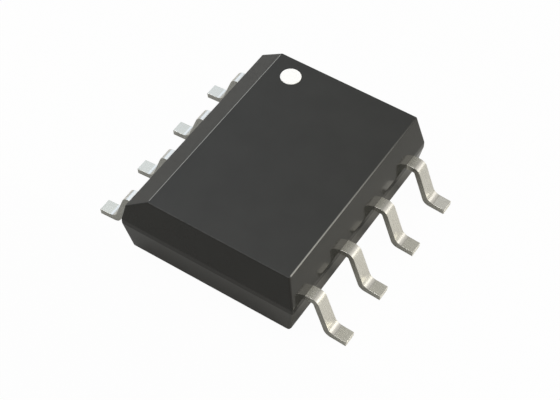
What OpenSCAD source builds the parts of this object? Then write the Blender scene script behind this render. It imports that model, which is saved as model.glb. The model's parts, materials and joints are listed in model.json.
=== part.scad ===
// Small-outline chip with eight gull-wing leads.
// X crosses the body from the pin 1 side to the pin 8 side, Y runs along it towards the pin 1 end,
// and Z rises from the board. The origin lies on the board under the middle of the body.

/* [Body] */
// Length of the body along a row of leads, at its land
body_length = 4.98; // [4.80:0.01:5.00]
// Width of the body across the leads, at its land
body_width = 4.00; // [3.80:0.01:4.00]
// Height of the moulded body
body_height = 1.69; // [1.50:0.01:1.70]
// Gap between the board and the underside of the body
stand_off = 0.06; // [0.05:0.01:0.25]
// Height of the parting plane above the underside
parting_rise = 0.84; // [0.75:0.005:0.90]
// Draft of the long sides above the land, in degrees
top_side_draft = 12; // [5:0.5:15]
// Draft of the ends above the land, in degrees
top_end_draft = 10; // [5:0.5:15]
// Draft of the long sides below the land, in degrees
bottom_side_draft = 10; // [5:0.5:15]
// Draft of the ends below the land, in degrees
bottom_end_draft = 9; // [5:0.5:15]
// Radius of the moulded edges
edge_radius = 0.03; // [0.01:0.005:0.05]

/* [Pin 1 bevel] */
// How far the bevel reaches in over the top face
bevel_width = 0.44; // [0.25:0.01:0.50]
// How far the bevel reaches down the pin 1 side
bevel_depth = 0.40; // [0.25:0.01:0.46]

/* [Pin 1 dot] */
// Diameter of the printed dot
dot_diameter = 0.44; // [0.30:0.01:0.60]
// Distance from the end edge of the top face to the middle of the dot
dot_end_inset = 0.46; // [0.35:0.01:0.60]
// Distance from the upper edge of the bevel to the middle of the dot
dot_side_inset = 0.51; // [0.35:0.01:0.70]
// Thickness of the dried ink
ink_thickness = 0.012; // [0.008:0.001:0.020]

/* [Leads outside the body] */
// Distance from one lead to the next
lead_pitch = 1.27; // [1.20:0.01:1.30]
// Width of a lead
lead_width = 0.29; // [0.28:0.01:0.48]
// Thickness of the lead strip, which is that of the die pad too
lead_thickness = 0.13; // [0.10:0.01:0.25]
// Level run of a lead from the parting line to its upper bend
shoulder_length = 0.14; // [0.10:0.005:0.20]
// Inner radius of the upper bend
upper_bend_radius = 0.05; // [0.05:0.01:0.12]
// Radius of the upper face at the lower bend
lower_bend_radius = 0.20; // [0.10:0.01:0.24]
// Radius of the underside at the lower bend
heel_radius = 0.18; // [0.15:0.01:0.36]
// Slope of the leg, in degrees from the board
leg_angle = 70; // [62:1:85]
// Straight length of the foot, from the lower bend to the toe
foot_length = 0.255; // [0.15:0.005:0.60]
// Slope of the foot, in degrees from the board, with the toe lowest
foot_angle = 4.5; // [0:0.5:8]

/* [Leads inside the body] */
// Depth from the parting line to the widening that anchors a lead
anchor_depth = 0.15; // [0.12:0.01:0.25]
// How far the anchor stands out past each edge of a middle lead
anchor_flare = 0.11; // [0.05:0.01:0.15]
// How far the anchor of a corner lead stands out towards the end of the body
corner_flare = 0.06; // [0.02:0.01:0.10]
// Gap between the inner ends of the leads and the die pad
pad_gap = 0.20; // [0.15:0.01:0.25]
// Gap between a corner lead and the tie bar
tie_bar_gap = 0.35; // [0.20:0.01:0.50]

/* [Die pad] */
// Length of the pad, along the body
pad_length = 2.60; // [2.45:0.05:2.80]
// Width of the pad, across the body
pad_width = 2.30; // [1.90:0.05:2.50]
// How far the pad lies below the leads
pad_downset = 0.20; // [0.10:0.01:0.30]
// Width of the two bars that held the pad in its frame
tie_bar_width = 0.30; // [0.20:0.01:0.40]
// Level run of a tie bar before it slopes up
tie_bar_start = 0.05; // [0.02:0.01:0.10]
// Thickness of the moulding that covers the end of a tie bar
tie_bar_cover = 0.10; // [0.05:0.01:0.20]

/* [Die] */
// Length of the die, along the body
die_length = 2.00; // [1.70:0.05:2.30]
// Width of the die, across the body
die_width = 1.50; // [1.20:0.05:1.70]
// Thickness of the die
die_thickness = 0.28; // [0.15:0.01:0.30]
// Thickness of the epoxy under the die
epoxy_thickness = 0.025; // [0.015:0.005:0.040]
// How far the epoxy spreads past the die
epoxy_spread = 0.05; // [0.02:0.01:0.08]

/* [Bond wires] */
// Diameter of the wire
wire_diameter = 0.025; // [0.020:0.001:0.033]
// Diameter of the ball on the die
ball_diameter = 0.075; // [0.060:0.001:0.090]
// Height of the ball
ball_height = 0.020; // [0.015:0.001:0.030]
// Straight rise of the wire above its ball
neck_rise = 0.03; // [0.02:0.01:0.05]
// Rise of the loop above its neck
loop_rise = 0.13; // [0.10:0.01:0.18]
// Flat length of the wire on the lead
stitch_length = 0.10; // [0.06:0.01:0.14]
// Distance from the edge of the die to the middle of a ball
ball_inset = 0.12; // [0.08:0.01:0.20]
// Distance from one ball to the next along the die
ball_pitch = 0.45; // [0.30:0.01:0.50]
// Distance from the end of a middle lead to the end of its wire
stitch_inset = 0.20; // [0.15:0.01:0.30]
// Distance from the pad side of a corner lead to the end of its wire
corner_stitch_inset = 0.15; // [0.12:0.01:0.25]
// Distance from the inner end of a corner lead to the end of its wire
corner_stitch_run = 0.40; // [0.25:0.01:0.60]

/* [Hidden] */
$fn = 48;

mould_black = [0.25, 0.25, 0.24];
tin_grey = [0.80, 0.79, 0.75];
copper_red = [0.72, 0.45, 0.30];
epoxy_grey = [0.66, 0.66, 0.64];
silicon_grey = [0.38, 0.40, 0.45];
gold_yellow = [0.90, 0.72, 0.30];
ink_white = [0.98, 0.98, 0.97];

// Flat steps in each round bend of a lead
bend_steps = 10;
// Flat steps in each wire's loop, and sides around the wire
loop_steps = 8;
wire_sides = 8;

// Heights above the board
body_top = stand_off + body_height;
parting_height = stand_off + parting_rise;
lead_top = parting_height + lead_thickness / 2;
lead_bottom = parting_height - lead_thickness / 2;
pad_top = lead_top - pad_downset;
pad_bottom = pad_top - lead_thickness;
epoxy_top = pad_top + epoxy_thickness;
die_top = epoxy_top + die_thickness;
ball_top = die_top + ball_height;

// Half the width and half the length of the body at a height z. The mould halves close on the lead
// strip, so the body is widest along an upright land as high as the strip is thick.
function half_width(z) = body_width / 2
  - max(0, z - lead_top) * tan(top_side_draft)
  - max(0, lead_bottom - z) * tan(bottom_side_draft);
function half_length(z) = body_length / 2
  - max(0, z - lead_top) * tan(top_end_draft)
  - max(0, lead_bottom - z) * tan(bottom_end_draft);
bevel_low = body_top - bevel_depth;
top_edge_x = half_width(body_top);
bevel_edge_x = top_edge_x - bevel_width;

// Side view of the bends, with angles counted from the board
function along(angle) = [cos(angle), -sin(angle)];
function outward(angle) = [sin(angle), cos(angle)];
function arc(centre, radius, from, to) =
  [for (i = [0:bend_steps]) centre + radius * outward(from + (to - from) * i / bend_steps)];

shoulder_end = body_width / 2 + shoulder_length;
upper_outer_radius = upper_bend_radius + lead_thickness;
upper_centre = [shoulder_end, lead_top - upper_outer_radius];
leg_start = upper_centre + upper_outer_radius * outward(leg_angle);
// From the foot of the leg to the top of the toe, round the lower bend and along the foot
foot_run = lower_bend_radius * (outward(leg_angle) - outward(foot_angle)) + foot_length * along(foot_angle);
// The leg is as long as brings the toe down to the board
leg_length = (leg_start[1] + foot_run[1] - lead_thickness * cos(foot_angle)) / sin(leg_angle);
leg_end = leg_start + leg_length * along(leg_angle);
lower_centre = leg_end + lower_bend_radius * outward(leg_angle);
// The underside bends round a centre of its own, on the line that halves the bend
bend_middle = (leg_angle + foot_angle) / 2;
half_turn = (leg_angle - foot_angle) / 2;
heel_shift = (heel_radius - lower_bend_radius - lead_thickness) / cos(half_turn);
heel_centre = lower_centre + heel_shift * outward(bend_middle);
toe_top = leg_end + foot_run;
toe_bottom = toe_top - lead_thickness * outward(foot_angle);

// Plan of the leads inside the body
anchor_x = body_width / 2 - anchor_depth;
middle_end_x = pad_width / 2 + pad_gap;
corner_end_x = tie_bar_width / 2 + tie_bar_gap;
corner_near_y = pad_length / 2 + pad_gap;
tie_bar_end = half_length(lead_top) - tie_bar_cover;

// Reach past the part for the outlines that are extruded through it
past = 1;

// Each side has two corner leads and two middle leads. A row counts lead pitches from the middle.
corner_row = 1.5;
middle_row = 0.5;
rows = [-corner_row, -middle_row, middle_row, corner_row];
function is_corner(row) = abs(row) == corner_row;

// Cross section of the body, as seen from the end with pins 1 and 8 at the back
module cross_section() {
  offset(r = edge_radius)
    offset(delta = -edge_radius)
      polygon([
        [-half_width(stand_off), stand_off],
        [half_width(stand_off), stand_off],
        [body_width / 2, lead_bottom],
        [body_width / 2, lead_top],
        [top_edge_x, body_top],
        [-bevel_edge_x, body_top],
        [-half_width(bevel_low), bevel_low],
        [-body_width / 2, lead_top],
        [-body_width / 2, lead_bottom]]);
}

// Lengthwise section of the body
module long_section() {
  offset(r = edge_radius)
    offset(delta = -edge_radius)
      polygon([
        [-half_length(stand_off), stand_off],
        [half_length(stand_off), stand_off],
        [body_length / 2, lead_bottom],
        [body_length / 2, lead_top],
        [half_length(body_top), body_top],
        [-half_length(body_top), body_top],
        [-body_length / 2, lead_top],
        [-body_length / 2, lead_bottom]]);
}

module body_block() {
  intersection() {
    rotate([90, 0, 0])
      linear_extrude(body_length, center = true) cross_section();
    rotate([90, 0, 90])
      linear_extrude(body_width, center = true) long_section();
  }
}

// Side view of one lead, from inside the body to the toe
module lead_form() {
  polygon(concat(
    [[0, lead_top]],
    arc(upper_centre, upper_outer_radius, 0, leg_angle),
    arc(lower_centre, -lower_bend_radius, leg_angle, foot_angle),
    [toe_top, toe_bottom],
    arc(heel_centre, -heel_radius, foot_angle, leg_angle),
    arc(upper_centre, upper_bend_radius, leg_angle, 0),
    [[0, lead_bottom]]));
}

// Plan of one lead: a strip that widens to its anchor inside the body
module lead_blank(row) {
  middle_y = abs(row) * lead_pitch;
  near_edge = middle_y - lead_width / 2;
  far_edge = middle_y + lead_width / 2;
  end_x = is_corner(row) ? corner_end_x : middle_end_x;
  near_anchor = is_corner(row) ? min(corner_near_y, near_edge) : near_edge - anchor_flare;
  far_anchor = far_edge + (is_corner(row) ? corner_flare : anchor_flare);
  polygon([
    [end_x, near_anchor],
    [anchor_x, near_anchor],
    [anchor_x, near_edge],
    [toe_top[0] + past, near_edge],
    [toe_top[0] + past, far_edge],
    [anchor_x, far_edge],
    [anchor_x, far_anchor],
    [end_x, far_anchor]]);
}

// side is -1 for pins 1 to 4 and 1 for pins 5 to 8
module lead(side, row) {
  color(tin_grey)
    mirror([side < 0 ? 1 : 0, 0, 0])
      mirror([0, row < 0 ? 1 : 0, 0])
        intersection() {
          rotate([90, 0, 0])
            linear_extrude(body_length, center = true) lead_form();
          translate([0, 0, -past])
            linear_extrude(body_top + 2 * past) lead_blank(row);
        }
}

// Lengthwise section of the pad and its tie bars, all of one thickness
module pad_form() {
  low_y = pad_length / 2 + tie_bar_start;
  high_y = low_y + pad_downset;
  under_shift = lead_thickness * tan(45 / 2);
  half_top = [[low_y, pad_top], [high_y, lead_top], [tie_bar_end, lead_top]];
  half_under = [
    [tie_bar_end, lead_bottom],
    [high_y + under_shift, lead_bottom],
    [low_y + under_shift, pad_bottom]];
  half = concat(half_top, half_under);
  polygon(concat(half, [for (i = [len(half) - 1:-1:0]) [-half[i][0], half[i][1]]]));
}

module pad_blank() {
  square([pad_width, pad_length], center = true);
  square([tie_bar_width, body_length], center = true);
}

module die_pad() {
  color(copper_red)
    intersection() {
      rotate([90, 0, 90])
        linear_extrude(body_width, center = true) pad_form();
      translate([0, 0, -past])
        linear_extrude(body_top + 2 * past) pad_blank();
    }
}

// A flat block over the middle of the part
module slab(width, length, thickness, bottom) {
  translate([-width / 2, -length / 2, bottom]) cube([width, length, thickness]);
}

module die_attach() {
  color(epoxy_grey)
    slab(die_width + 2 * epoxy_spread, die_length + 2 * epoxy_spread, epoxy_thickness, pad_top);
}

module die() {
  color(silicon_grey) slab(die_width, die_length, die_thickness, epoxy_top);
}

// A wire's path in its own upright plane: level distance from the ball, and height above the lead.
// The loop is a Bezier curve, which peaks at three quarters of its control points' height.
wire_radius = wire_diameter / 2;
wire_flat = wire_radius * cos(180 / wire_sides);
function bezier(a, b, c, d, t) =
  pow(1 - t, 3) * a + 3 * pow(1 - t, 2) * t * b + 3 * (1 - t) * pow(t, 2) * c + pow(t, 3) * d;
function wire_path(reach) =
  let (
    start = ball_top - lead_top,
    neck = start + neck_rise,
    peak = neck + loop_rise * 4 / 3,
    down = [reach - stitch_length, wire_flat])
  concat(
    [[0, start]],
    [for (i = [0:loop_steps]) bezier([0, neck], [0, peak], [reach / 3, peak], down, i / loop_steps)],
    [[reach, wire_flat]]);

// The direction across the wire at each point of its path, longer where two stretches meet askew
function unit(v) = v / norm(v);
function across(a, b) = let (d = unit(b - a)) [-d[1], d[0]];
function mitre(path, i) =
  let (
    last = len(path) - 1,
    before = across(path[max(i, 1) - 1], path[max(i, 1)]),
    after = across(path[min(i, last - 1)], path[min(i, last - 1) + 1]))
  (before + after) / (1 + before * after);

module swept_wire(path) {
  turn = 360 / wire_sides;
  points = [for (i = [0:len(path) - 1]) for (j = [0:wire_sides - 1])
    let (
      angle = turn * (j + 0.5),
      lift = wire_radius * cos(angle) * mitre(path, i))
    [path[i][0] + lift[0], wire_radius * sin(angle), path[i][1] + lift[1]]];
  sides = [for (i = [0:len(path) - 2]) for (j = [0:wire_sides - 1])
    let (
      a = i * wire_sides + j,
      b = i * wire_sides + (j + 1) % wire_sides)
    [a, b, b + wire_sides, a + wire_sides]];
  first_end = [for (j = [wire_sides - 1:-1:0]) j];
  last_end = [for (j = [0:wire_sides - 1]) (len(path) - 1) * wire_sides + j];
  polyhedron(points, concat(sides, [first_end, last_end]));
}

module bond_wire(side, row) {
  ball = [side * (die_width / 2 - ball_inset), row * ball_pitch];
  stitch = is_corner(row)
    ? [side * (corner_end_x + corner_stitch_run), sign(row) * (corner_near_y + corner_stitch_inset)]
    : [side * (middle_end_x + stitch_inset), row * lead_pitch];
  run = stitch - ball;
  color(gold_yellow) {
    translate([ball[0], ball[1], die_top]) cylinder(h = ball_height, d = ball_diameter);
    translate([ball[0], ball[1], lead_top])
      rotate([0, 0, atan2(run[1], run[0])]) swept_wire(wire_path(norm(run)));
  }
}

// The moulding fills the body around everything that it holds
module mould_body() {
  color(mould_black)
    difference() {
      body_block();
      for (side = [-1, 1])
        for (row = rows) {
          lead(side, row);
          bond_wire(side, row);
        }
      die_pad();
      die_attach();
      die();
    }
}

module pin1_dot() {
  color(ink_white)
    translate([-bevel_edge_x + dot_side_inset, half_length(body_top) - dot_end_inset, body_top])
      cylinder(h = ink_thickness, d = dot_diameter);
}

// Pins 1 to 4 run down the bevelled side, and pins 5 to 8 run back up the other
module lead_1() { lead(-1, corner_row); }
module lead_2() { lead(-1, middle_row); }
module lead_3() { lead(-1, -middle_row); }
module lead_4() { lead(-1, -corner_row); }
module lead_5() { lead(1, -corner_row); }
module lead_6() { lead(1, -middle_row); }
module lead_7() { lead(1, middle_row); }
module lead_8() { lead(1, corner_row); }
module bond_wire_1() { bond_wire(-1, corner_row); }
module bond_wire_2() { bond_wire(-1, middle_row); }
module bond_wire_3() { bond_wire(-1, -middle_row); }
module bond_wire_4() { bond_wire(-1, -corner_row); }
module bond_wire_5() { bond_wire(1, -corner_row); }
module bond_wire_6() { bond_wire(1, -middle_row); }
module bond_wire_7() { bond_wire(1, middle_row); }
module bond_wire_8() { bond_wire(1, corner_row); }

mould_body();
pin1_dot();
lead_1();
lead_2();
lead_3();
lead_4();
lead_5();
lead_6();
lead_7();
lead_8();
die_pad();
die_attach();
die();
bond_wire_1();
bond_wire_2();
bond_wire_3();
bond_wire_4();
bond_wire_5();
bond_wire_6();
bond_wire_7();
bond_wire_8();
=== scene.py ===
# %% [markdown]
# Dressing a small-outline chip
#
# The object is a moulded chip about five millimetres long. A block of dark moulding compound holds a
# silicon die and the inner ends of eight tin-plated leads, and the leads step down to the board like
# gull wings. Its shape is settled in CAD. This script loads that shape, makes a finer mesh for each
# part that shows, gives every part its finish, and sets the camera and the lights.

import json
import math

import bmesh
import bpy
from mathutils import Matrix, Vector


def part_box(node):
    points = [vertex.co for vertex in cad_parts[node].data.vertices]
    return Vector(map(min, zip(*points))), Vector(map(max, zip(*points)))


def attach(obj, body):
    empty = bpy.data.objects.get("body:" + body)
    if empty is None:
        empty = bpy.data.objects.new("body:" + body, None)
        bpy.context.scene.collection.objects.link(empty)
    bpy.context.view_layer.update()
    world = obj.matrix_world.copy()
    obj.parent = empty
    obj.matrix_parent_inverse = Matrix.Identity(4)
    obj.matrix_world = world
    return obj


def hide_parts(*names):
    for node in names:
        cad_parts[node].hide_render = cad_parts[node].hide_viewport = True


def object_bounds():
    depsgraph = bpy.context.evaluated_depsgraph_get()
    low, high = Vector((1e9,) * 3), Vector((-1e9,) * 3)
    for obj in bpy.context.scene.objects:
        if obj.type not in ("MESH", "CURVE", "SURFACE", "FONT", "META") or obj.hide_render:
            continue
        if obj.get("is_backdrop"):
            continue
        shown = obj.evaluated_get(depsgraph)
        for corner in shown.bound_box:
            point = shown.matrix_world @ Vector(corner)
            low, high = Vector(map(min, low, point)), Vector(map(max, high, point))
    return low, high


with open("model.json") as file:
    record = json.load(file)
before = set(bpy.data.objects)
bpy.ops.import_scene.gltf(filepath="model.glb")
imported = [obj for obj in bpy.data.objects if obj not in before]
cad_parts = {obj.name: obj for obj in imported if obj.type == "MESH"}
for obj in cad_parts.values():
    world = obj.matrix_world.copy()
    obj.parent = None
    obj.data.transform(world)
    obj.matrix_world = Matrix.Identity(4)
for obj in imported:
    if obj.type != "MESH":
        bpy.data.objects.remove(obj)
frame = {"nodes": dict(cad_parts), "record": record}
chip = frame["nodes"]
cad_low, cad_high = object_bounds()
print("parts in the packed chip:", len(chip))
MM = 0.001
print("chip box in mm:", [round((b - a) / MM, 3) for a, b in zip(cad_low, cad_high)])

# %% [markdown]
# Work in millimetres
#
# Blender's rounding tools compare lengths with small fixed tolerances, and a part a few thousandths of
# a metre long comes close to them. So each mesh is built in millimetres, where the part is a handy
# size. The last step of each piece scales its mesh down and sets it in the frame.

# %% A finished mesh takes the place of its CAD part
def settle(name, mould, modifiers, finish, cad_name, mark=None):
    """Applies the modifiers to a millimetre mesh and shows it, in metres, instead of the CAD part."""
    bench = bpy.data.objects.new("bench", mould)
    bpy.context.scene.collection.objects.link(bench)
    for kind, settings in modifiers:
        modifier = bench.modifiers.new(kind.lower(), kind)
        for key, value in settings.items():
            setattr(modifier, key, value)
    ready = bench.evaluated_get(bpy.context.evaluated_depsgraph_get())
    mesh = bpy.data.meshes.new_from_object(ready)
    bpy.data.objects.remove(bench)
    if mark:
        mark(mesh)
    mesh.transform(Matrix.Scale(MM, 4))
    mesh.name = name
    mesh.materials.clear()
    mesh.materials.append(finish)
    piece = bpy.data.objects.new(name, mesh)
    bpy.context.scene.collection.objects.link(piece)
    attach(piece, "root")
    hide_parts(cad_name)
    report(piece, cad_name)


def report(piece, cad_name):
    """Prints how many faces a piece has, and how far its box is from the box of the CAD part."""
    low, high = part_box(cad_name)
    corners = [piece.matrix_world @ Vector(corner) for corner in piece.bound_box]
    gaps = [abs(min(c[i] for c in corners) - low[i]) for i in range(3)]
    gaps += [abs(max(c[i] for c in corners) - high[i]) for i in range(3)]
    faces, widest_gap = len(piece.data.polygons), round(max(gaps) / MM, 4)
    print(piece.name, "faces", faces, "largest gap to the CAD box in mm", widest_gap)


# %% [markdown]
# The camera
#
# The picture looks down on the chip from the front right, about 52 degrees above the board. The
# camera's place comes from a least-squares fit of the chip's corners and lead outlines to the
# picture. A long lens, 95 mm on a 36 mm sensor, gives the slight narrowing towards the back. The
# point that it looks at and the distance are in millimetres, and the angles in degrees.

# %% Set the camera at the picture's viewing angle
look_at = Vector((0.1230, -0.0429, 0.4308))
distance = 29.873
turn, rise, roll = math.radians(33.019), math.radians(51.823), math.radians(0.182)
focal_length_in_pixels, picture_width_in_pixels, sensor_width = 1476.9, 560, 36

back = Vector((math.sin(turn) * math.cos(rise), -math.cos(turn) * math.cos(rise), math.sin(rise)))
level = Vector((math.cos(turn), math.sin(turn), 0))
upright = back.cross(level)
right = level * math.cos(roll) + upright * math.sin(roll)
up = upright * math.cos(roll) - level * math.sin(roll)

camera = bpy.data.objects.new("picture_camera", bpy.data.cameras.new("picture_camera"))
bpy.context.scene.collection.objects.link(camera)
camera.data.sensor_width = sensor_width
camera.data.lens = focal_length_in_pixels / picture_width_in_pixels * sensor_width
camera.data.clip_start, camera.data.clip_end = 0.001, 10
stance = Matrix((right, up, back)).transposed().to_4x4()
stance.translation = (look_at + back * distance) * MM
camera.matrix_world = stance
bpy.context.scene.camera = camera
bpy.context.scene.view_settings.view_transform = "Standard"
print("camera at", [round(v, 5) for v in camera.location], "lens", round(camera.data.lens, 2))

# %% [markdown]
# Small helpers for finishes
#
# A finish is a tree of shader nodes. These helpers add one node at a time: a value that comes from
# another node is linked, and a plain value is written into the node's socket.

# %% Helpers that add nodes
def put(tree, kind, **sockets):
    """Adds a node. A named socket is linked if its value is an output, and set to the value if not."""
    node = tree.nodes.new(kind)
    for name, value in sockets.items():
        connect(tree, value, node.inputs[name.replace("_", " ")])
    return node


def connect(tree, value, socket):
    """Links an output to a socket, or writes a plain value into it."""
    if isinstance(value, bpy.types.NodeSocket):
        tree.links.new(value, socket)
    else:
        socket.default_value = value


def sums(tree, operation, a, b=0.0):
    """One step of arithmetic on two values."""
    node = tree.nodes.new("ShaderNodeMath")
    node.operation = operation
    connect(tree, a, node.inputs[0])
    connect(tree, b, node.inputs[1])
    return node.outputs[0]


def spread(tree, value, low, high, to_low=0.0, to_high=1.0):
    """Stretches the part of a value between low and high to a new range."""
    node = put(
        tree, "ShaderNodeMapRange", Value=value, From_Min=low, From_Max=high, To_Min=to_low, To_Max=to_high)
    return node.outputs["Result"]


def blend(tree, share, a, b):
    """Mixes two colours: share 0 gives a, and share 1 gives b."""
    node = tree.nodes.new("ShaderNodeMix")
    node.data_type = "RGBA"
    for value, socket in ((share, node.inputs[0]), (a, node.inputs[6]), (b, node.inputs[7])):
        connect(tree, value, socket)
    return node.outputs[2]


def place_in_mm(tree):
    """The point's place on the chip, in millimetres."""
    node = tree.nodes.new("ShaderNodeVectorMath")
    node.operation = "SCALE"
    connect(tree, put(tree, "ShaderNodeTexCoord").outputs["Object"], node.inputs[0])
    node.inputs["Scale"].default_value = 1 / MM
    return node.outputs[0]


def marked(tree, attribute):
    """Reads an attribute that the mesh carries at each point."""
    node = put(tree, "ShaderNodeAttribute")
    node.attribute_name = attribute
    return node


def new_finish(name):
    """An empty material with its output and a Principled shader, and the tree to work in."""
    material = bpy.data.materials.new(name)
    material.use_nodes = True
    tree = material.node_tree
    tree.nodes.clear()
    shader = put(tree, "ShaderNodeBsdfPrincipled")
    put(tree, "ShaderNodeOutputMaterial", Surface=shader.outputs[0])
    return material, tree, shader


def emboss(tree, shader, height, strength, depth):
    """Gives the surface a relief. Depth is in metres, as everything in the shader is."""
    bump = put(tree, "ShaderNodeBump", Height=height, Strength=strength, Distance=depth)
    connect(tree, bump.outputs[0], shader.inputs["Normal"])


# %% [markdown]
# Grain, shared by every finish
#
# Moulding compound, dried ink, matte tin and silver epoxy all have a fine grain, each at its own size.
# One node group makes it from two layers of noise. Size is the width of a grain in millimetres. Grain
# is a soft mask around one half, and Specks picks out the few brightest grains.

# %% Build the grain group
def group_socket(group, name, way, kind, value=None):
    """Adds a socket to a node group. Way is INPUT or OUTPUT."""
    socket = group.interface.new_socket(name, in_out=way, socket_type=kind)
    if value is not None:
        socket.default_value = value


grain = bpy.data.node_groups.new("grain", "ShaderNodeTree")
group_socket(grain, "Place", "INPUT", "NodeSocketVector")
group_socket(grain, "Size", "INPUT", "NodeSocketFloat", 0.03)
group_socket(grain, "Speck Share", "INPUT", "NodeSocketFloat", 0.1)
group_socket(grain, "Grain", "OUTPUT", "NodeSocketFloat")
group_socket(grain, "Specks", "OUTPUT", "NodeSocketFloat")
inside = put(grain, "NodeGroupInput")
density = sums(grain, "DIVIDE", 1.0, inside.outputs["Size"])
coarse = put(
    grain, "ShaderNodeTexNoise", Vector=inside.outputs["Place"], Scale=density, Detail=3.0, Roughness=0.6)
finer = sums(grain, "MULTIPLY", density, 2.7)
fine = put(grain, "ShaderNodeTexNoise", Vector=inside.outputs["Place"], Scale=finer, Detail=2.0)
both = sums(grain, "MULTIPLY", sums(grain, "ADD", coarse.outputs[0], fine.outputs[0]), 0.5)
edge = sums(grain, "SUBTRACT", 0.68, sums(grain, "MULTIPLY", inside.outputs["Speck Share"], 0.5))
specks = spread(grain, fine.outputs[0], edge, sums(grain, "ADD", edge, 0.06))
put(grain, "NodeGroupOutput", Grain=spread(grain, both, 0.3, 0.7), Specks=specks)
print("grain group:", len(grain.nodes), "nodes")


def add_grain(tree, place, size, speck_share=0.1):
    """Puts the grain group into a finish. Size is in millimetres."""
    node = tree.nodes.new("ShaderNodeGroup")
    node.node_tree = grain
    connect(tree, place, node.inputs["Place"])
    node.inputs["Size"].default_value = size
    node.inputs["Speck Share"].default_value = speck_share
    return node


# %% [markdown]
# Moulding compound
#
# The body is epoxy filled with ground silica and a little carbon black. It is almost black, and most of the
# light that comes from it is what its resin skin mirrors. The flat floors of the mould keep a fine
# spark-eroded grain, and the drafted walls are rubbed smooth as part after part slides out. So the top is
# satin, and the walls are glossy enough to mirror the leads. The slope of the surface decides which. The
# pale rims are a painted highlight, from a mark on the mesh set further below.

# %% Mix the moulding compound
mould_compound, tree, shader = new_finish("mould_compound")
place = place_in_mm(tree)
spark = add_grain(tree, place, 0.035, 0.08)
clouds = put(tree, "ShaderNodeTexNoise", Vector=place, Scale=1.6, Detail=3.0)
facing = put(tree, "ShaderNodeSeparateXYZ", Vector=put(tree, "ShaderNodeNewGeometry").outputs["Normal"])
flat = spread(tree, sums(tree, "ABSOLUTE", facing.outputs["Z"]), 0.35, 0.7)

cloudy = spread(tree, clouds.outputs[0], 0.35, 0.65)
tone = blend(tree, cloudy, (0.0205, 0.0205, 0.0182, 1), (0.0235, 0.0235, 0.0210, 1))
tone = blend(tree, sums(tree, "MULTIPLY", spark.outputs["Specks"], 0.2), tone, (0.05, 0.05, 0.047, 1))
from_middle = sums(tree, "ABSOLUTE", put(tree, "ShaderNodeSeparateXYZ", Vector=place).outputs["Y"])
rim_ends, rim_gone = 2.29, 2.31
short_of_end = spread(tree, from_middle, rim_ends, rim_gone, 1.0, 0.0)
# Painted highlight: the rims of the top are lightened in colour where they catch the light.
rim_highlight = sums(tree, "MULTIPLY", marked(tree, "painted_rim_highlight").outputs["Fac"], short_of_end)
rim_highlight = sums(tree, "MULTIPLY", rim_highlight, spread(tree, spark.outputs["Grain"], 0.0, 1.0, 0.8, 1.0))
tone = blend(tree, rim_highlight, tone, (0.36, 0.36, 0.34, 1))
connect(tree, tone, shader.inputs["Base Color"])
shader.inputs["Specular IOR Level"].default_value = 0.42
polish = spread(tree, spark.outputs["Grain"], 0.0, 1.0, -0.02, 0.02)
roughness = sums(tree, "ADD", spread(tree, flat, 0.0, 1.0, 0.10, 0.36), polish)
connect(tree, roughness, shader.inputs["Roughness"])
relief = sums(tree, "MULTIPLY", spark.outputs["Grain"], spread(tree, flat, 0.0, 1.0, 0.15, 1.0))
emboss(tree, shader, relief, 0.2, 2e-6)
print("mould compound:", len(tree.nodes), "nodes")

# %% [markdown]
# White ink
#
# The mark beside pin 1 is printed, so it is a thin film of thick white ink. It is matte, just off
# white, and slightly uneven where the pad lifted away.

# %% Mix the white ink
white_ink, tree, shader = new_finish("white_ink")
film = add_grain(tree, place_in_mm(tree), 0.05, 0.05).outputs["Grain"]
tone = blend(tree, film, (0.98, 0.98, 0.965, 1), (1.0, 1.0, 0.985, 1))
connect(tree, tone, shader.inputs["Base Color"])
connect(tree, spread(tree, film, 0.0, 1.0, 0.5, 0.65), shader.inputs["Roughness"])
shader.inputs["Specular IOR Level"].default_value = 0.9
emboss(tree, shader, film, 0.3, 1.5e-6)
print("white ink:", len(tree.nodes), "nodes")

# %% [markdown]
# Rolled strip
#
# The leads and the die pad are stamped from rolled copper strip, and rolling leaves fine lines along
# it. The lines have to follow the strip round its bends, so they are drawn in the strip's own flat
# measure: along it, across it and through it. The leads carry that measure from before they are bent.

# %% Build the rolling line group
rolling = bpy.data.node_groups.new("rolling_lines", "ShaderNodeTree")
group_socket(rolling, "Flat Place", "INPUT", "NodeSocketVector")
group_socket(rolling, "Line Width", "INPUT", "NodeSocketFloat", 0.01)
group_socket(rolling, "Lines", "OUTPUT", "NodeSocketFloat")
inside = put(rolling, "NodeGroupInput")
stretch = rolling.nodes.new("ShaderNodeVectorMath")
stretch.operation = "MULTIPLY"
connect(rolling, inside.outputs["Flat Place"], stretch.inputs[0])
stretch.inputs[1].default_value = (0.06, 1.0, 1.0)
across = sums(rolling, "DIVIDE", 1.0, inside.outputs["Line Width"])
streaks = put(
    rolling, "ShaderNodeTexNoise", Vector=stretch.outputs[0], Scale=across, Detail=4.0, Roughness=0.65)
put(rolling, "NodeGroupOutput", Lines=spread(rolling, streaks.outputs[0], 0.3, 0.7))
print("rolling line group:", len(rolling.nodes), "nodes")


def add_rolling(tree, flat_place, line_width):
    """Puts the rolling lines into a finish. Their width is in millimetres."""
    node = tree.nodes.new("ShaderNodeGroup")
    node.node_tree = rolling
    connect(tree, flat_place, node.inputs["Flat Place"])
    node.inputs["Line Width"].default_value = line_width
    return node.outputs["Lines"]
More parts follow.
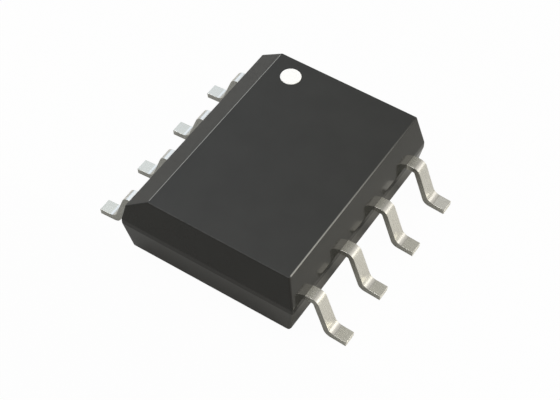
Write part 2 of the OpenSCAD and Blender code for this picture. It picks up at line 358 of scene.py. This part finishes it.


# %% [markdown]
# Tin plating
#
# Matte tin is a soft warm white metal with tiny crystals, so its mirror is broad. It doesn't look the same
# all over, and attributes of the mesh say where it differs. The sheared side edges tore as they were cut
# and are darker, and their colour is darker still as painted shade, for the grey paper in front that they
# mirror. The feet get a darker tone given for each pin, and the shoulders of pins 5 to 8 get painted shade,
# for the dark body that they mirror. The top of the bends on pins 5 to 8 gets painted shade where the light
# from behind falls on them. The toe ends were cut last and are the brightest, and what is left are the
# rolled faces.

# %% Plate the leads
tin_plating, tree, shader = new_finish("tin_plating")
flat_place = marked(tree, "flat_place").outputs["Vector"]
sheared, foot_tone_and_shoulder_shade, painted_bend_shade, fresh_end = [
    marked(tree, name).outputs["Fac"] for name in ("sheared", "foot_tone_and_shoulder_shade", "painted_bend_shade", "fresh_end")]
lines = add_rolling(tree, flat_place, 0.02)
crystals = add_grain(tree, flat_place, 0.03, 0.2).outputs["Grain"]

face = blend(tree, lines, (0.85, 0.835, 0.775, 1), (0.96, 0.945, 0.89, 1))
face = blend(tree, sums(tree, "MULTIPLY", crystals, 0.25), face, (0.68, 0.665, 0.61, 1))
# Painted shade on the shoulders of pins 5 to 8, and a darker tone on the feet.
foot_and_shoulder_darkening = sums(tree, "MULTIPLY", foot_tone_and_shoulder_shade, spread(tree, crystals, 0.1, 0.9, 0.42, 0.68))
face = blend(tree, foot_and_shoulder_darkening, face, (0.58, 0.565, 0.475, 1))
# Painted shade: the top of the bends on pins 5 to 8 is darkened where the light from behind falls on them.
face = blend(tree, painted_bend_shade, face, (0.625, 0.61, 0.565, 1))
face = blend(tree, fresh_end, face, (1.0, 0.99, 0.95, 1))
# Partly real, partly painted shade: sheared edges are darker, and this tone is darker still for the grey
# paper in front that they mirror.
cut_tone_and_shade = blend(tree, crystals, (0.41, 0.41, 0.38, 1), (0.51, 0.51, 0.475, 1))
connect(tree, blend(tree, sheared, face, cut_tone_and_shade), shader.inputs["Base Color"])
shader.inputs["Metallic"].default_value = 1.0
streaky, frosty = spread(tree, lines, 0.0, 1.0, 0.25, 0.30), spread(tree, crystals, 0.0, 1.0, -0.03, 0.04)
roughness = sums(tree, "ADD", sums(tree, "ADD", streaky, frosty), sums(tree, "MULTIPLY", fresh_end, 0.25))
connect(tree, roughness, shader.inputs["Roughness"])
relief = sums(tree, "ADD", sums(tree, "MULTIPLY", lines, 0.25), sums(tree, "MULTIPLY", crystals, 0.5))
emboss(tree, shader, relief, 0.2, 1.5e-6)
print("tin plating:", len(tree.nodes), "nodes")

# %% [markdown]
# Finishes inside the body
#
# The die, its pad and its wires don't show, but they are real parts, and whoever cuts the model open
# meets them. They get plain honest finishes from the same groups: rolled copper, grey silver epoxy,
# polished silicon and drawn gold.

# %% Finish what the moulding hides
def around_value(tree, mask, middle, reach=0.05):
    """A value that the mask moves a little to both sides of its middle."""
    return spread(tree, mask, 0.0, 1.0, middle - reach, middle + reach)


def metal(name, dark, light, rough, line_width):
    """A rolled or drawn metal, with fine lines in its colour and its shine."""
    material, tree, shader = new_finish(name)
    lines = add_rolling(tree, place_in_mm(tree), line_width)
    connect(tree, blend(tree, lines, dark, light), shader.inputs["Base Color"])
    connect(tree, around_value(tree, lines, rough), shader.inputs["Roughness"])
    shader.inputs["Metallic"].default_value = 1.0
    return material


def grained(name, dark, light, rough, size):
    """A dull or polished solid, with a fine grain in its colour and its shine."""
    material, tree, shader = new_finish(name)
    mask = add_grain(tree, place_in_mm(tree), size).outputs["Grain"]
    connect(tree, blend(tree, mask, dark, light), shader.inputs["Base Color"])
    connect(tree, around_value(tree, mask, rough), shader.inputs["Roughness"])
    return material


hidden_finishes = {
    "copper_pad": metal("copper_pad", (0.55, 0.26, 0.15, 1), (0.66, 0.33, 0.20, 1), 0.32, 0.015),
    "gold_wire": metal("gold_wire", (0.80, 0.53, 0.17, 1), (0.90, 0.63, 0.24, 1), 0.22, 0.004),
    "silver_epoxy": grained("silver_epoxy", (0.36, 0.36, 0.34, 1), (0.48, 0.48, 0.46, 1), 0.6, 0.01),
    "silicon": grained("silicon", (0.12, 0.13, 0.16, 1), (0.14, 0.15, 0.18, 1), 0.12, 0.05),
}
for part in frame["record"]["subparts"]:
    if part["material_slot"] in hidden_finishes:
        slots = chip[part["node"]].data.materials
        slots.clear()
        slots.append(hidden_finishes[part["material_slot"]])
print("hidden finishes:", sorted(hidden_finishes))

# %% [markdown]
# The moulded body
#
# A transfer mould has two halves that close on the lead strip. Each half is drafted so that the part
# slides out, and between them an upright land as high as the strip is thick runs round the body. The
# side of pins 1 to 4 has a long bevel. The block has only eighteen corners, and these values are the
# ones that the CAD was built from, in millimetres.

# %% Sizes of the body
body_length, body_width, body_height = 4.98, 4.00, 1.69
stand_off, parting_rise = 0.06, 0.84
top_draft, top_end_draft = math.radians(12), math.radians(10)
low_draft, low_end_draft = math.radians(10), math.radians(9)
bevel_width, bevel_depth = 0.44, 0.40
body_top = stand_off + body_height
parting_height = stand_off + parting_rise
lead_thickness = 0.13
land_top, land_low = parting_height + lead_thickness / 2, parting_height - lead_thickness / 2
bevel_low = body_top - bevel_depth


def drafted(half, z, above, below):
    """Half a width or a length of the block at height z, from its half at the land."""
    return half - max(0, z - land_top) * math.tan(above) - max(0, land_low - z) * math.tan(below)


def half_width(z):
    """Half the width of the block at height z."""
    return drafted(body_width / 2, z, top_draft, low_draft)


def half_length(z):
    """Half the length of the block at height z."""
    return drafted(body_length / 2, z, top_end_draft, low_end_draft)


bevel_edge = half_width(body_top) - bevel_width
top_width, top_length = half_width(body_top) + bevel_edge, 2 * half_length(body_top)
print("top face", round(top_width, 3), "by", round(top_length, 3), "mm")

# %% Build the block with sharp edges
# The section starts at the lower left corner, goes right along the underside and on round.
cross_section = [
    (-half_width(stand_off), stand_off),
    (half_width(stand_off), stand_off),
    (half_width(land_low), land_low),
    (half_width(land_top), land_top),
    (half_width(body_top), body_top),
    (-bevel_edge, body_top),
    (-half_width(bevel_low), bevel_low),
    (-half_width(land_top), land_top),
    (-half_width(land_low), land_low),
]
block = bmesh.new()
front = [block.verts.new((x, -half_length(z), z)) for x, z in cross_section]
rear = [block.verts.new((x, half_length(z), z)) for x, z in cross_section]
for i in range(len(cross_section)):
    block.faces.new((front[i], front[i - 1], rear[i - 1], rear[i]))
below_land, at_land, above_land = (0, 1, 2, 8), (2, 3, 7, 8), (3, 4, 5, 6, 7)
for end in (front, rear):
    for facet in (below_land, at_land, above_land):
        block.faces.new([end[i] for i in facet])
bmesh.ops.recalc_face_normals(block, faces=block.faces[:])
print("block:", len(block.verts), "corners,", len(block.edges), "edges,", len(block.faces), "faces")

# %% [markdown]
# Round each edge by its own radius
#
# Most edges of the block are crisp, with radii of two or three hundredths of a millimetre. The front
# right corner is worn wider, more so below. At the land the surface turns by only a few degrees,
# so a wide radius makes the slow change of tone that a mould leaves there. The Bevel modifier takes a
# width, and the width for a radius depends on how far the surface turns, so each edge gets its own
# share of the widest one.

# %% Work out the rounding of each edge
radii = {
    "front top": 0.02, "side top": 0.03, "back top": 0.02, "bevel low": 0.02, "upright": 0.03,
    "underside": 0.03, "land top": 0.25, "land low": 0.10, "worn above": 0.045, "worn below": 0.08}
same = 1e-5


def radius_of(edge):
    """The radius of an edge of the block, by where its middle lies."""
    heights = [corner.co.z for corner in edge.verts]
    middle = sum((corner.co for corner in edge.verts), Vector()) / 2
    if max(heights) - min(heights) > same:
        if middle.y > 0 or middle.x < 0:
            return radii["upright"]
        return radii["worn above" if middle.z > land_low else "worn below"]
    for name, height in (("land top", land_top), ("land low", land_low), ("underside", stand_off)):
        if abs(middle.z - height) < same:
            return radii[name]
    if abs(middle.z - body_top) > same:
        return radii["bevel low"]
    if abs(middle.y) > same:
        return radii["front top" if middle.y < 0 else "back top"]
    return radii["side top"]


share = block.edges.layers.float.new("bevel_weight_edge")
widths = {edge: radius_of(edge) * math.tan(edge.calc_face_angle() / 2) for edge in block.edges}
widest = max(widths.values())
for edge, width in widths.items():
    edge[share] = width / widest
for face in block.faces:
    face.smooth = True
block_mesh = bpy.data.meshes.new("block")
block.to_mesh(block_mesh)
block.free()
print("widest rounding in mm:", round(widest, 4))

# %% [markdown]
# Painted highlight on the rims
#
# Along the crisp rims of the top, a pale hair line is painted into the compound's colour: a painted
# highlight where the rounded rims catch the light. The line runs along the bevel, and fades out towards the
# back on the other side. Each point of the mesh gets its share of it, as an attribute that the finish
# reads. The finish ends the line just short of both ends, where the rims meet the end faces.

# %% Mark the painted rim highlight
rim_fade_end, rim_fade_length = 0.92, 0.45


def rim_highlight_strength(point):
    """How far a point of the body lies in the painted rim highlight, from 0 to 1."""
    top_y = half_length(body_top)
    right_rim = Vector((half_width(body_top), 0, body_top))
    bevel_rim = Vector((-bevel_edge, 0, body_top))
    bevel_slope = math.atan2(bevel_depth, half_width(bevel_low) - bevel_edge)
    radius = radii["side top"]
    right_slope = math.pi / 2 - top_draft
    strongest = 0
    for rim, turned, fades in ((bevel_rim, bevel_slope, False), (right_rim, right_slope, True)):
        half_angle = turned / 2
        tangent = radius * math.tan(half_angle)
        crest = radius * (1 / math.cos(half_angle) - 1)
        away = math.hypot(point.x - rim.x, point.z - rim.z)
        across = 1 - ((away - crest) / (tangent - crest)) ** 2
        run = (point.y + top_y) / (2 * top_y)
        along_rim = min(1, max(0, (rim_fade_end - run) / rim_fade_length)) if fades else 1
        strongest = max(strongest, min(1, max(0, across)) ** 0.5 * along_rim)
    return strongest


def paint_rim_highlight(mesh):
    """Writes the strength of the painted rim highlight into the mesh."""
    painted_rim_highlight = mesh.attributes.new("painted_rim_highlight", "FLOAT", "POINT")
    for vertex, value in zip(mesh.vertices, painted_rim_highlight.data):
        value.value = rim_highlight_strength(vertex.co)


# %% Round the block and set it in the frame
rounding = {"limit_method": "WEIGHT", "width": widest, "segments": 6, "use_clamp_overlap": False}
even_shade = {"mode": "FACE_AREA", "weight": 100, "keep_sharp": True}
settle(
    "moulded_body", block_mesh, [("BEVEL", rounding), ("WEIGHTED_NORMAL", even_shade)],
    mould_compound, "mould_body", paint_rim_highlight)

# %% [markdown]
# The pin 1 dot
#
# A dot of ink stands a hundredth of a millimetre high. It could be a texture, but a real film has a
# rounded rim that catches light, and a mesh keeps its edge crisp at any distance. Rings of points
# step outwards, and the outer ones fall away in a quarter circle.

# %% Print the dot
dot_radius, ink_thickness, rim_width = 0.22, 0.012, 0.02
dot_side_inset, dot_end_inset = 0.51, 0.46
dot_x, dot_y = -bevel_edge + dot_side_inset, half_length(body_top) - dot_end_inset
ink_top = body_top + ink_thickness
around, rim_steps, flat_rings = 96, 6, (0.3, 0.6, 0.85)

ink = bmesh.new()
top = ink.verts.new((dot_x, dot_y, ink_top))
profile = [(reach * (dot_radius - rim_width), ink_top) for reach in flat_rings]
for step in range(rim_steps + 1):
    angle = math.pi / 2 * step / rim_steps
    radius = dot_radius - rim_width * (1 - math.sin(angle))
    profile.append((radius, body_top + ink_thickness * math.cos(angle)))
turns = [2 * math.pi * i / around for i in range(around)]
rings = [
    [ink.verts.new((dot_x + radius * math.cos(t), dot_y + radius * math.sin(t), height)) for t in turns]
    for radius, height in profile]
for i in range(around):
    j = (i + 1) % around
    ink.faces.new((top, rings[0][i], rings[0][j]))
    for inner, outer in zip(rings, rings[1:]):
        ink.faces.new((inner[i], outer[i], outer[j], inner[j]))
ink.faces.new(reversed(rings[-1]))
for face in ink.faces:
    face.smooth = len(face.verts) < 5
dot_mesh = bpy.data.meshes.new("dot")
ink.to_mesh(dot_mesh)
ink.free()
settle("printed_dot", dot_mesh, [], white_ink, "pin1_dot")

# %% [markdown]
# The leads: a flat blank first
#
# A lead frame is stamped from strip and its leads are bent after moulding. The mesh is made the same
# way. It starts as the flat outline of one lead, with the wide anchor that keeps it in the body, then
# gets its thickness and its rounded edges. Each blank lies along X from inside the body to the toe,
# and Y is its place along the body.

# %% Sizes of the leads
lead_pitch, lead_width = 1.27, 0.29
shoulder_length, upper_bend, lower_bend, heel_radius = 0.14, 0.05, 0.20, 0.18
leg_angle, foot_angle, foot_length = math.radians(70), math.radians(4.5), 0.255
anchor_depth, anchor_flare, corner_flare = 0.15, 0.11, 0.06
middle_end, corner_end, corner_near = 1.35, 0.50, 1.50
lead_top = land_top
shoulder_end = body_width / 2 + shoulder_length


def along(angle):
    """The direction of a slope, in the side view of a lead."""
    return Vector((math.cos(angle), -math.sin(angle)))


def outward(angle):
    """The direction square to a slope, up and out."""
    return Vector((math.sin(angle), math.cos(angle)))


upper_centre = Vector((shoulder_end, lead_top - upper_bend - lead_thickness))
leg_start = upper_centre + (upper_bend + lead_thickness) * outward(leg_angle)
foot_run = lower_bend * (outward(leg_angle) - outward(foot_angle)) + foot_length * along(foot_angle)
leg_length = (leg_start.y + foot_run.y - lead_thickness * math.cos(foot_angle)) / math.sin(leg_angle)
leg_end = leg_start + leg_length * along(leg_angle)
lower_centre = leg_end + lower_bend * outward(leg_angle)
bend_middle, half_turn = (leg_angle + foot_angle) / 2, (leg_angle - foot_angle) / 2
print("leg length in mm", round(leg_length, 4), "toe to toe", round(2 * (leg_end + foot_run).x, 3))

# %% [markdown]
# Where each bend falls on the flat blank
#
# Bending stretches the outside of the strip and squeezes the inside, and the middle keeps its length.
# So the blank is measured along its middle: each bend takes its angle times the radius of the middle
# of the strip.

# %% Measure the blank
upper_run = (upper_bend + lead_thickness / 2) * leg_angle
lower_run = (lower_bend + lead_thickness / 2) * (leg_angle - foot_angle)
stations = [shoulder_end]
for run in (upper_run, leg_length, lower_run, foot_length):
    stations.append(stations[-1] + run)
print("stations along the blank in mm:", [round(s, 3) for s in stations])


def formed(s, depth):
    """Where a point of the blank goes in bending. Depth is measured down from the top face."""
    if s <= stations[0]:
        return Vector((s, lead_top - depth))
    if s <= stations[1]:
        angle = leg_angle * (s - stations[0]) / upper_run
        return upper_centre + (upper_bend + lead_thickness - depth) * outward(angle)
    if s <= stations[2]:
        return leg_start + (s - stations[1]) * along(leg_angle) - depth * outward(leg_angle)
    if s <= stations[3]:
        angle = leg_angle + (foot_angle - leg_angle) * (s - stations[2]) / lower_run
        radius = lower_bend + (heel_radius - lower_bend) * depth / lead_thickness
        centre = lower_centre + (radius - lower_bend - depth) / math.cos(half_turn) * outward(bend_middle)
        return centre - radius * outward(angle)
    foot_start = lower_centre - (lower_bend + depth) * outward(foot_angle)
    return foot_start + (s - stations[3]) * along(foot_angle)


# %% Stamp the blank
def blank_outline(corner):
    """The flat outline of a corner lead or a middle lead, on the side of pins 5 to 8."""
    middle = (1.5 if corner else 0.5) * lead_pitch
    near, far = middle - lead_width / 2, middle + lead_width / 2
    start = corner_end if corner else middle_end
    near_anchor = corner_near if corner else near - anchor_flare
    far_anchor = far + (corner_flare if corner else anchor_flare)
    anchor = body_width / 2 - anchor_depth
    return [
        (start, near_anchor), (anchor, near_anchor), (anchor, near), (stations[-1], near),
        (stations[-1], far), (anchor, far), (anchor, far_anchor), (start, far_anchor)]


def stamp(corner, top_rounding=0.005, under_rounding=0.003):
    """A flat blank with its thickness, its rounded top edges and its nearly sharp lower edges."""
    blank = bmesh.new()
    under = blank.faces.new([blank.verts.new((x, y, -lead_thickness)) for x, y in blank_outline(corner)])
    raised = bmesh.ops.extrude_face_region(blank, geom=[under])
    lifted = [item for item in raised["geom"] if isinstance(item, bmesh.types.BMVert)]
    bmesh.ops.translate(blank, verts=lifted, vec=(0, 0, lead_thickness))
    bmesh.ops.recalc_face_normals(blank, faces=blank.faces[:])
    for depth, width in ((0, top_rounding), (-lead_thickness, under_rounding)):
        rim = [e for e in blank.edges if all(abs(v.co.z - depth) < 1e-6 for v in e.verts)]
        bmesh.ops.bevel(
            blank, geom=rim, offset=width, offset_type="OFFSET", segments=4, profile=0.5,
            affect="EDGES", clamp_overlap=False)
    return blank


# %% [markdown]
# Bend the blank
#
# A mesh bends only where it has points, so the blank is cut across wherever it will curve, every four
# degrees or so. The lower bend was pressed round a punch and against a die, and its underside has the
# smaller radius of the two, so the radius changes through the strip. Before bending, each point keeps its
# flat place for the rolling lines, and values from 0 to about 1 that say how sheared or freshly cut its
# surface is, how dark its foot is or how much painted shade its shoulder gets, and how much painted shade
# it gets on a bend. The bends get painted shade only on the top face of pins 5 to 8, where the light from
# behind falls on them, and it fades out towards the leg.

# %% Cut across the bends, then form the lead
# The feet of these pins are darkened more or less than the others, which count as 1. The shoulders of pins
# 5 to 8 get painted shade, for the dark body beside them that they mirror.
foot_darkening = {1: 0.75, 4: 1.2, 5: 1.1, 8: 0.0}
shoulder_painted_shade = 0.9
cuts_per_bend, toe_cut = 16, 0.02
side_start = body_width / 2 - 0.1
bend_shade_from, bend_shade_until, fade_width = 0.01, 0.85, 0.3
hair, between_blanks = 1e-4, 10


def bend(blank, corner, pin):
    """Cuts the blank across its bends and moves each point to where bending takes it."""
    steps = [i / cuts_per_bend for i in range(cuts_per_bend + 1)]
    cuts = [stations[0] + upper_run * step for step in steps]
    cuts += [stations[2] + lower_run * step for step in steps]
    for s in cuts + [stations[-1] - toe_cut]:
        everything = blank.verts[:] + blank.edges[:] + blank.faces[:]
        bmesh.ops.bisect_plane(blank, geom=everything, dist=same, plane_co=(s, 0, 0), plane_no=(1, 0, 0))
    flat_place = blank.verts.layers.float_vector.new("flat_place")
    sheared, foot_tone_and_shoulder_shade, fresh_end, painted_bend_shade = [
        blank.verts.layers.float.new(name) for name in ("sheared", "foot_tone_and_shoulder_shade", "fresh_end", "painted_bend_shade")]
    middle = (1.5 if corner else 0.5) * lead_pitch
    for point in blank.verts:
        s, y, z = point.co
        on_top, on_toe = z > -hair, s > stations[-1] - hair
        on_side = abs(y - middle) > lead_width / 2 - hair and s > side_start
        point[flat_place] = (s, y + between_blanks * pin, z)
        point[sheared] = float(on_side and not on_toe)
        point[fresh_end] = float(on_toe)
        # Painted shade on the shoulders of pins 5 to 8; the feet get a darker tone given for each pin.
        if on_top and pin > 4 and s < stations[0] + hair:
            point[foot_tone_and_shoulder_shade] = shoulder_painted_shade
        elif on_top and s > stations[3] - hair:
            point[foot_tone_and_shoulder_shade] = foot_darkening.get(pin, 1.0)
        # Painted shade on the top of the bends of pins 5 to 8, fading out towards the leg.
        for share in ((s - stations[0]) / upper_run, (stations[3] - s) / lower_run):
            if on_top and pin > 4 and bend_shade_from < share < bend_shade_until:
                point[painted_bend_shade] = min(1, (bend_shade_until - share) / fade_width)
        bent = formed(s, -z)
        point.co = (bent.x, y, bent.y)


def make_lead(pin):
    """Makes the lead of one pin, mirrored to its own side and end."""
    side = -1 if pin <= 4 else 1
    end = 1 if pin in (1, 2, 7, 8) else -1
    corner = pin in (1, 4, 5, 8)
    blank = stamp(corner)
    bend(blank, corner, pin)
    bmesh.ops.scale(blank, vec=(side, end, 1), verts=blank.verts[:])
    if side * end < 0:
        bmesh.ops.reverse_faces(blank, faces=blank.faces[:])
    for face in blank.faces:
        face.smooth = True
    mesh = bpy.data.meshes.new("lead")
    blank.to_mesh(mesh)
    blank.free()
    settle(
        f"formed_lead_{pin}", mesh, [("WEIGHTED_NORMAL", even_shade)],
        tin_plating, f"lead_{pin}")


for pin in range(1, 9):
    make_lead(pin)

# %% [markdown]
# The floor
#
# The chip stands on plain pale paper. A floor that is lit like the chip renders a little grey, so
# the camera sees nearly pure white, and the small rest is the lit paper with the chip's soft shadow.
# Shiny surfaces mirror the lit paper with hardly any of that white. Its colour is painted greyer in front
# of the chip, and a little behind it, as painted shade, and so the glossy walls that mirror it stay dark.
# Seen from underneath, the paper lets the view through.

# %% Lay the floor
paper, tree, shader = new_finish("white_paper")
fibres = add_grain(tree, place_in_mm(tree), 0.4)
sheet_tone = blend(tree, fibres.outputs["Grain"], (0.58, 0.571, 0.545, 1), (0.61, 0.601, 0.575, 1))
across_sheet = put(tree, "ShaderNodeSeparateXYZ", Vector=place_in_mm(tree)).outputs["Y"]
# Painted shade: the paper is greyer in front of the chip and a little behind it.
near_chip = spread(tree, across_sheet, -2.3, -2.5, 0.0, 0.7)
further_off = spread(tree, across_sheet, -2.7, -3.8, 0.0, 0.3)
behind = spread(tree, across_sheet, 1.7, 3.0, 0.0, 0.35)
painted_floor_shade = sums(tree, "ADD", sums(tree, "ADD", near_chip, further_off), behind)
sheet_tone = blend(tree, painted_floor_shade, sheet_tone, (0.40, 0.395, 0.38, 1))
connect(tree, sheet_tone, shader.inputs["Base Color"])
shader.inputs["Roughness"].default_value = 0.9
rays = put(tree, "ShaderNodeLightPath")
mirrored = sums(tree, "MAXIMUM", rays.outputs["Is Glossy Ray"], rays.outputs["Is Transmission Ray"])
seen = sums(tree, "MULTIPLY", rays.outputs["Is Camera Ray"], 0.975)
whiteness = sums(tree, "ADD", seen, sums(tree, "MULTIPLY", mirrored, 0.03))
glow = put(tree, "ShaderNodeEmission", Strength=1.0)
lit = tree.nodes.new("ShaderNodeMixShader")
for value, socket in ((whiteness, 0), (shader.outputs[0], 1), (glow.outputs[0], 2)):
    connect(tree, value, lit.inputs[socket])
through = tree.nodes.new("ShaderNodeMixShader")
clear = put(tree, "ShaderNodeBsdfTransparent")
under = put(tree, "ShaderNodeNewGeometry").outputs["Backfacing"]
for value, socket in ((under, 0), (lit.outputs[0], 1), (clear.outputs[0], 2)):
    connect(tree, value, through.inputs[socket])
connect(tree, through.outputs[0], tree.nodes["Material Output"].inputs["Surface"])

sheet = bmesh.new()
bmesh.ops.create_grid(sheet, x_segments=1, y_segments=1, size=1.0)
floor_mesh = bpy.data.meshes.new("floor")
sheet.to_mesh(floor_mesh)
sheet.free()
floor_mesh.materials.append(paper)
floor = bpy.data.objects.new("floor", floor_mesh)
bpy.context.scene.collection.objects.link(floor)
floor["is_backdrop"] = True

# %% [markdown]
# The lights
#
# The light is a plain studio: a pale surround that is brighter towards the back, and five soft
# boxes. The camera sees the surround as pure white, like the paper. Two boxes behind the right side,
# one above the other, draw the bright bands on the bends of the leads and light the feet as the long
# wall mirrors them. A small one on the right lights the legs. One behind the left side lights the
# feet there, and a high one lights the top and keeps the shadow small. A box is given by where it
# stands, in degrees, by its width in metres, and by how bright its face looks, where 1 is white.

# %% Hang the soft boxes
def soft_box(name, azimuth, elevation, size, brightness, tint, reach=0.25):
    """A square lamp that faces the chip. Azimuth turns from +X towards +Y, in degrees."""
    a, e = math.radians(azimuth), math.radians(elevation)
    towards = Vector((math.cos(a) * math.cos(e), math.sin(a) * math.cos(e), math.sin(e)))
    lamp = bpy.data.lights.new(name, "AREA")
    lamp.size = size
    lamp.color = tint
    lamp.energy = brightness * 4 * size * size
    box = bpy.data.objects.new(name, lamp)
    bpy.context.scene.collection.objects.link(box)
    box.location = towards * reach
    box.rotation_mode = "QUATERNION"
    box.rotation_quaternion = towards.to_track_quat("Z", "Y")


world = bpy.data.worlds.new("studio")
bpy.context.scene.world = world
world.use_nodes = True
sky = world.node_tree
towards = put(sky, "ShaderNodeSeparateXYZ", Vector=put(sky, "ShaderNodeTexCoord").outputs["Generated"])
to_right = spread(sky, towards.outputs["X"], -0.6, 0.6)
warmth = blend(sky, to_right, (0.99, 0.99, 0.98, 1), (1.02, 0.995, 0.90, 1))
seen = put(sky, "ShaderNodeLightPath").outputs["Is Camera Ray"]
surround = sky.nodes["Background"]
connect(sky, blend(sky, seen, warmth, (1, 1, 1, 1)), surround.inputs["Color"])
paleness = spread(sky, towards.outputs["Y"], -0.7, 0.65, 0.19, 0.46)
connect(sky, sums(sky, "MAXIMUM", seen, paleness), surround.inputs["Strength"])

soft_box("soft_box_left", 155, 35, 0.20, 0.44, (0.82, 0.97, 1.2))
soft_box("soft_box_back", 44, 43, 0.20, 0.34, (1.0, 0.99, 1.0))
soft_box("soft_box_low", 36, 27, 0.12, 0.60, (1.0, 0.99, 1.0))
soft_box("soft_box_right", 7, 22, 0.13, 3.8, (1.0, 0.965, 0.86))
soft_box("soft_box_top", 190, 70, 0.15, 3.4, (1.0, 1.0, 1.0))
print("lamps:", [lamp.name for lamp in bpy.data.lights])

# %% [markdown]
# Check the size
#
# Dressing the chip must not change its size, so the size of what is shown now, less the size of the CAD's
# box, is printed in millimetres.

# %% Print how far the shown size is from the CAD's
shown_low, shown_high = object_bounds()
boxes = {"cad": [list(cad_low), list(cad_high)], "shown": [list(shown_low), list(shown_high)]}
shown_size, cad_size = [[b - a for a, b in zip(*box)] for box in (boxes["shown"], boxes["cad"])]
print("shown box minus CAD box in mm:", [round((s - c) / MM, 4) for s, c in zip(shown_size, cad_size)])
